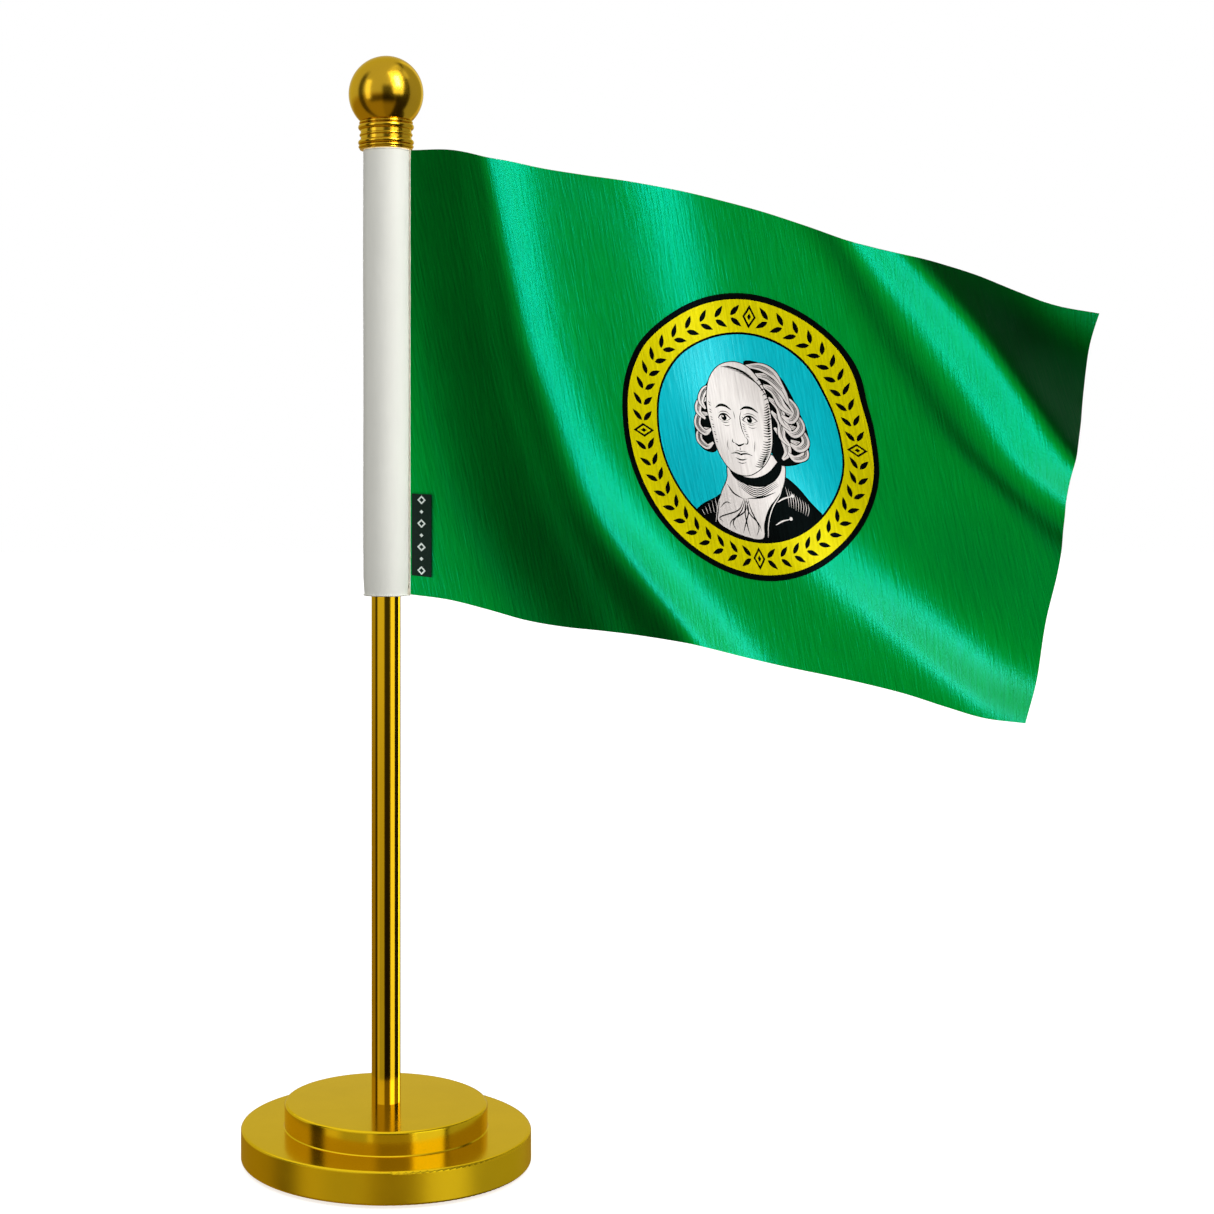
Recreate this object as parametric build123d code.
from build123d import *
import os
from math import exp, log

# Desk flag stand: a two-step round foot, a slim pole with a ball finial, and a small flag
# whose cloth sleeve slides over the pole's upper half. Millimetres, +Z up. The origin is on
# the pole's axis, on the surface that the stand rests on. The flag flies towards +X.

os.makedirs("parts", exist_ok=True)

# ---- driving dimensions -----------------------------------------------------------------
BASE_R = 45.0            # lower step of the foot
BASE_THICK = 10.1
UPPER_R = 31.5           # upper step of the foot
UPPER_THICK = 7.4
RIM_BEVEL = 0.8          # rounded rims of both steps
JOINT_LIP = 0.3          # flared lip where the upper step stands on the lower one
PAD_PROUD = 0.8          # how far the pad stands below the metal
PAD_RECESS = 0.7
PAD_R = 41.0

POLE_R = 4.5
POLE_WALL = 1.0
POLE_SOCKET = 4.0        # how deep the pole stands in the upper step
SLEEVE_BOTTOM_Z = 175.4
HOIST = 136.4            # height of the sleeve, and of the flag along the pole

SLEEVE_R = 7.0
SLEEVE_WALL = 0.9
SLEEVE_HEM = 0.4         # rounding of the sleeve's lower edge
TOP_DISC_THICK = 0.6     # cloth disc that closes the sleeve's top and hangs on the pole's end
TOP_DISC_HOLE_R = 3.8
TOP_GAP = 0.04           # lift of the disc above the pole's end, and of the finial above it

BALL_R = 11.45
BALL_ABOVE_SLEEVE = 17.0   # ball's centre above the sleeve's top
COLLAR_HEIGHT = 8.6
COLLAR_CORE_R = 7.8
# beads round the collar, from the bottom: (height of the crest, half width, crest radius)
COLLAR_BEADS = [
    (0.20, 0.20, 8.10),
    (0.90, 0.42, 8.45),
    (2.20, 0.78, 8.55),
    (4.45, 0.48, 8.15),
    (6.85, 0.95, 8.55),
    (8.20, 0.32, 8.25),
]
COLLAR_BOSS_R = 3.4      # stands on the pole's end and keeps the finial off the cloth

THREAD_R = 2.5           # M5, modelled as plain cylinders
THREAD_PITCH = 0.8
SCREW_CLEAR_R = 2.75
STUD_CLEAR = 0.07        # running clearance of the finial's stud
STUD_TURNS = 10
STUD_END_GAP = 0.1       # thread still in the plug when the finial is fully unscrewed
SCREW_LENGTH = 20.0
HEAD_R = 4.25
HEAD_HEIGHT = 5.0
HEX_FLATS = 4.0
HEX_DEPTH = 2.5
HEAD_BEVEL = 0.4
WASHER_R = 5.0
WASHER_THICK = 1.0
SPRING_R = 4.6
SPRING_THICK = 1.2
SPRING_SPLIT = 1.0
COUNTERBORE_R = 6.0
SEAT_WALL = 1.8          # metal left above the counterbore
SPRING_CLEAR = 0.1       # radial gap between the screw and its spring washer
PLUG_LENGTH_LOW = 18.0
PLUG_LENGTH_TOP = 14.0
PLUG_END_WALL = 2.0

TAPE_WIDTH = 0.5         # seam tape that joins the panel to the sleeve
TAPE_THICK = 1.6
STITCH_PITCH = 3.0
STITCH_LENGTH = 2.0
STITCH_WIDTH = 0.26
LABEL_WIDTH = 6.7
LABEL_HEIGHT = 25.2
LABEL_BOTTOM = 6.0       # above the flag's lower edge
LABEL_THICK = 0.35
LABEL_GAP = 0.05         # between the label and the cloth behind it

CLOTH_THICK = 0.8

# ---- heights that follow ----------------------------------------------------------------
BASE_TOP_Z = PAD_PROUD + BASE_THICK
UPPER_TOP_Z = BASE_TOP_Z + UPPER_THICK
POLE_FOOT_Z = UPPER_TOP_Z - POLE_SOCKET
SLEEVE_TOP_Z = SLEEVE_BOTTOM_Z + HOIST
POLE_TOP_Z = SLEEVE_TOP_Z - TOP_DISC_THICK - 2 * TOP_GAP
DISC_UNDER_Z = POLE_TOP_Z + TOP_GAP
BALL_Z = SLEEVE_TOP_Z + BALL_ABOVE_SLEEVE
COLLAR_TOP_Z = SLEEVE_TOP_Z + COLLAR_HEIGHT
SEAT_Z = BASE_TOP_Z - SEAT_WALL      # ceiling of the counterbore, where the washers seat
STUD_TRAVEL = STUD_TURNS * THREAD_PITCH


def tube(outer, inner, low, high):
    """Upright round tube or, with inner 0, rod about the pole's axis."""
    body = Pos(0, 0, (low + high) / 2) * Cylinder(outer, high - low)
    if inner > 0:
        body -= Pos(0, 0, (low + high) / 2) * Cylinder(inner, high - low)
    return body


# ---- foot -------------------------------------------------------------------------------
def base_lower_disc():
    disc = tube(BASE_R, 0, PAD_PROUD, BASE_TOP_Z)
    disc = fillet(disc.edges().filter_by(GeomType.CIRCLE), RIM_BEVEL)
    disc -= tube(PAD_R, 0, PAD_PROUD, PAD_PROUD + PAD_RECESS)
    disc -= tube(COUNTERBORE_R, 0, PAD_PROUD, SEAT_Z)
    disc -= tube(SCREW_CLEAR_R, 0, SEAT_Z, BASE_TOP_Z)
    return disc


def base_upper_disc():
    disc = tube(UPPER_R, 0, BASE_TOP_Z, UPPER_TOP_Z)
    disc = fillet(disc.edges().filter_by(GeomType.CIRCLE).sort_by(Axis.Z)[-1:], RIM_BEVEL)
    disc += Pos(0, 0, BASE_TOP_Z + JOINT_LIP / 2) * Cone(UPPER_R + JOINT_LIP, UPPER_R, JOINT_LIP)
    disc -= tube(SCREW_CLEAR_R, 0, BASE_TOP_Z, POLE_FOOT_Z)
    disc -= tube(POLE_R, 0, POLE_FOOT_Z, UPPER_TOP_Z)
    return disc


def foot_pad():
    return tube(PAD_R, 0, 0, PAD_PROUD + PAD_RECESS)


def plain_washer():
    return tube(WASHER_R, SCREW_CLEAR_R, SEAT_Z - WASHER_THICK, SEAT_Z)


def spring_washer():
    top = SEAT_Z - WASHER_THICK
    ring = tube(SPRING_R, THREAD_R + SPRING_CLEAR, top - SPRING_THICK, top)
    split = Pos(SPRING_R, 0, top) * Box(2 * SPRING_R, SPRING_SPLIT, 4 * SPRING_THICK)
    return ring - split


def base_screw():
    under = SEAT_Z - WASHER_THICK - SPRING_THICK
    screw = tube(THREAD_R, 0, under, under + SCREW_LENGTH)
    head = tube(HEAD_R, 0, under - HEAD_HEIGHT, under)
    screw += chamfer(head.edges().filter_by(GeomType.CIRCLE).sort_by(Axis.Z)[:1], HEAD_BEVEL)
    socket = extrude(RegularPolygon(HEX_FLATS / 2, 6, major_radius=False), HEX_DEPTH)
    return screw - Pos(0, 0, under - HEAD_HEIGHT) * socket


# ---- pole -------------------------------------------------------------------------------
def pole_tube():
    return tube(POLE_R, POLE_R - POLE_WALL, POLE_FOOT_Z, POLE_TOP_Z)


def pole_lower_plug():
    top = POLE_FOOT_Z + PLUG_LENGTH_LOW
    plug = tube(POLE_R - POLE_WALL, 0, POLE_FOOT_Z, top)
    return plug - tube(THREAD_R, 0, POLE_FOOT_Z, top - PLUG_END_WALL)


def pole_upper_plug():
    low = POLE_TOP_Z - PLUG_LENGTH_TOP
    plug = tube(POLE_R - POLE_WALL, 0, low, POLE_TOP_Z)
    return plug - tube(THREAD_R + STUD_CLEAR, 0, low + PLUG_END_WALL, POLE_TOP_Z)


# ---- finial -----------------------------------------------------------------------------
def finial_collar():
    bore = THREAD_R + STUD_CLEAR
    low = SLEEVE_TOP_Z
    boss_low = POLE_TOP_Z + TOP_GAP / 2
    points = [(bore, COLLAR_TOP_Z), (bore, boss_low), (COLLAR_BOSS_R, boss_low), (COLLAR_BOSS_R, low)]
    edges = [Line(a, b) for a, b in zip(points, points[1:])]
    here = points[-1]
    for crest_z, half, crest_r in COLLAR_BEADS:
        start = (COLLAR_CORE_R, low + crest_z - half)
        end = (COLLAR_CORE_R, low + crest_z + half)
        if here != start:
            edges.append(Line(here, start))
        edges.append(ThreePointArc(start, (crest_r, low + crest_z), end))
        here = end
    edges.append(Line(here, (COLLAR_CORE_R, COLLAR_TOP_Z)))
    edges.append(Line((COLLAR_CORE_R, COLLAR_TOP_Z), points[0]))
    outline = make_face(Wire(edges))
    return revolve(Plane.XZ * outline, Axis.Z)


def finial_ball():
    cut_z = COLLAR_TOP_Z + TOP_GAP
    ball = Pos(0, 0, BALL_Z) * Sphere(BALL_R)
    ball -= tube(BALL_R + 1, 0, BALL_Z - BALL_R - 1, cut_z)
    return ball - tube(THREAD_R, 0, cut_z, BALL_Z)


def finial_stud():
    return tube(THREAD_R, 0, POLE_TOP_Z - STUD_TRAVEL - STUD_END_GAP, BALL_Z)


# ---- flag's sleeve ----------------------------------------------------------------------
def pole_sleeve():
    body = tube(SLEEVE_R, SLEEVE_R - SLEEVE_WALL, SLEEVE_BOTTOM_Z, DISC_UNDER_Z)
    rim = body.edges().filter_by(GeomType.CIRCLE).group_by(Axis.Z)[0]
    return fillet(rim, SLEEVE_HEM)


def sleeve_top_disc():
    return tube(SLEEVE_R, TOP_DISC_HOLE_R, DISC_UNDER_Z, DISC_UNDER_Z + TOP_DISC_THICK)


def hoist_tape():
    width = SLEEVE_R + TAPE_WIDTH
    high = DISC_UNDER_Z + TOP_DISC_THICK
    strip = Pos(width / 2, 0, (SLEEVE_BOTTOM_Z + high) / 2) * Box(width, TAPE_THICK, high - SLEEVE_BOTTOM_Z)
    return strip - tube(SLEEVE_R, 0, SLEEVE_BOTTOM_Z, high)


def hoist_stitching():
    x = SLEEVE_R + TAPE_WIDTH / 2
    count = int((HOIST - STITCH_PITCH) / STITCH_PITCH)
    stitches = []
    for side in (-1, 1):
        for k in range(count):
            z = SLEEVE_BOTTOM_Z + STITCH_PITCH * (k + 1)
            y = side * TAPE_THICK / 2
            stitches.append(Pos(x, y, z) * Box(STITCH_WIDTH, STITCH_WIDTH, STITCH_LENGTH))
    return Compound(children=stitches)


# ---- flag panel -------------------------------------------------------------------------
# The panel is a wavy sheet over a net of s (0 at the hoist, 1 at the fly) and t (0 at the top
# edge, 1 at the bottom edge). Its outline, seen from the front, runs between four corners.
TOP_HOIST = (SLEEVE_R + TAPE_WIDTH, SLEEVE_TOP_Z - TOP_GAP)
BOTTOM_HOIST = (SLEEVE_R + TAPE_WIDTH, SLEEVE_BOTTOM_Z + 0.3)
TOP_FLY = (220.5, 262.3)
BOTTOM_FLY = (197.3, 135.9)
# how far each edge leaves the straight line between its corners, at even stations
TOP_RISE = [0, 4.0, 4.8, 4.6, 5.4, 6.4, 6.5, 6.2, 5.6, 4.3, 3.0, 2.0, 2.1, 1.9, 0.6, -0.6, 0]
BOTTOM_RISE = [0, 0.9, 0.4, -0.5, -0.3, 0.6, 1.4, 1.7, 1.7, 1.5, 1.4, 1.5, 1.4, 0.9, -0.4, -1.3, 0]
FLY_BULGE = [0, 1.0, -0.6, -3.8, -1.2, -1.4, -2.8, -2.3, 0]

# Folds as slopes away from the front (+Y) between two lines: place of each line along s at
# t = 0, 1/4, 1/2, 3/4 and 1, softness of the first and second line at the top and the bottom
# edge, slope at both edges
CREASE = (0.107, 0.150, 0.210, 0.303, 0.475)
FOLDS = [
    ((-0.04, -0.03, 0.01, 0.07, 0.19), CREASE, (0.020, 0.045), (0.006, 0.014), (0.62, 0.52)),
    ((0.07, 0.098, 0.14, 0.215, 0.315), (0.088, 0.122, 0.17, 0.255, 0.375),
     (0.005, 0.010), (0.005, 0.010), (-0.13, -0.20)),
    (CREASE, (0.165, 0.198, 0.257, 0.385, 0.575), (0.006, 0.014), (0.012, 0.026), (-0.40, -0.50)),
    ((0.322, 0.384, 0.475, 0.64, 0.965), (0.39, 0.45, 0.565, 0.78, 1.19),
     (0.020, 0.028), (0.016, 0.050), (-0.41, -0.38)),
    ((0.57, 0.715, 0.93, 1.17, 1.50), (0.614, 0.762, 0.97, 1.25, 1.60),
     (0.013, 0.013), (0.010, 0.010), (0.36, 0.30)),
    ((0.632, 0.812, 1.03, 1.26, 1.50), (0.70, 0.904, 1.13, 1.35, 1.60),
     (0.010, 0.010), (0.012, 0.012), (-0.46, -0.62)),
    ((0.710, 0.912, 1.12, 1.36, 1.60), (0.91, 1.20, 1.40, 1.60, 1.80),
     (0.012, 0.012), (0.030, 0.030), (0.52, 1.90)),
]
SPAN = 200.0             # width over which a slope of 1 would go as deep
DRIFT = -14.0            # slow swing of the cloth towards the front along its length
NET_S, NET_T = 64, 20


def through(values, u):
    """Smooth curve through values at even stations of u, 0 to 1."""
    last = len(values) - 1
    k = min(int(u * last), last - 1)
    f = u * last - k
    a, b = values[k], values[k + 1]
    before = values[k - 1] if k > 0 else 2 * a - b
    after = values[k + 2] if k + 2 <= last else 2 * b - a
    slope_a, slope_b = (b - before) / 2, (after - a) / 2
    return (
        a * (1 - f) ** 2 * (1 + 2 * f)
        + b * f * f * (3 - 2 * f)
        + slope_a * f * (1 - f) ** 2
        - slope_b * f * f * (1 - f)
    )


def soft_ramp(x):
    return x if x > 30 else log(1 + exp(x))


def ramp_between(s, first, second, soft_first, soft_second):
    """0 before the first line, then rising by 1 per s until the second line, with soft bends."""
    return (
        soft_first * soft_ramp((s - first) / soft_first)
        - soft_second * soft_ramp((s - second) / soft_second)
    )


def fold_depth(s, t):
    depth = DRIFT * s
    for first, second, (a0, a1), (b0, b1), (g0, g1) in FOLDS:
        lines = (through(first, t), through(second, t), a0 + (a1 - a0) * t, b0 + (b1 - b0) * t)
        slope = g0 + (g1 - g0) * t
        depth += slope * SPAN * (ramp_between(s, *lines) - ramp_between(0, *lines))
    return depth


def panel_point(s, t):
    def along(a, b, u):
        return a + (b - a) * u

    top = (along(TOP_HOIST[0], TOP_FLY[0], s), along(TOP_HOIST[1], TOP_FLY[1], s))
    bottom = (along(BOTTOM_HOIST[0], BOTTOM_FLY[0], s), along(BOTTOM_HOIST[1], BOTTOM_FLY[1], s))
    x = along(top[0], bottom[0], t) + s * through(FLY_BULGE, t)
    z = along(top[1] + through(TOP_RISE, s), bottom[1] + through(BOTTOM_RISE, s), t)
    return (x, fold_depth(s, t), z)


def cloth_patch(s0, s1, t0, t1, count_s, count_t, front, thick):
    """Solid of the cloth's shape between net lines, its front face front mm before the sheet."""
    rows = []
    for j in range(count_t, -1, -1):
        t = t0 + (t1 - t0) * j / count_t
        row = []
        for i in range(count_s + 1):
            x, y, z = panel_point(s0 + (s1 - s0) * i / count_s, t)
            row.append(Vector(x, y - front, z))
        rows.append(row)
    face = Face.make_surface_from_array_of_points(rows, tol=0.2, min_deg=3, max_deg=3)
    return Solid.extrude(face, Vector(0, thick, 0))


def flag_panel():
    return cloth_patch(0, 1, 0, 1, NET_S, NET_T, CLOTH_THICK / 2, CLOTH_THICK)


def side_label():
    flag_width = TOP_FLY[0] - TOP_HOIST[0]
    t_low = 1 - LABEL_BOTTOM / HOIST
    t_high = t_low - LABEL_HEIGHT / HOIST
    front = CLOTH_THICK / 2 + LABEL_THICK + LABEL_GAP
    return cloth_patch(0.0005, LABEL_WIDTH / flag_width, t_high, t_low, 6, 6, front, LABEL_THICK)


PARTS = [
    base_lower_disc, base_upper_disc, foot_pad, plain_washer, spring_washer, base_screw,
    pole_tube, pole_lower_plug, pole_upper_plug,
    finial_collar, finial_ball, finial_stud,
    pole_sleeve, sleeve_top_disc, hoist_tape, hoist_stitching, flag_panel, side_label,
]
for make in PARTS:
    export_step(make(), f"parts/{make.__name__}.step")
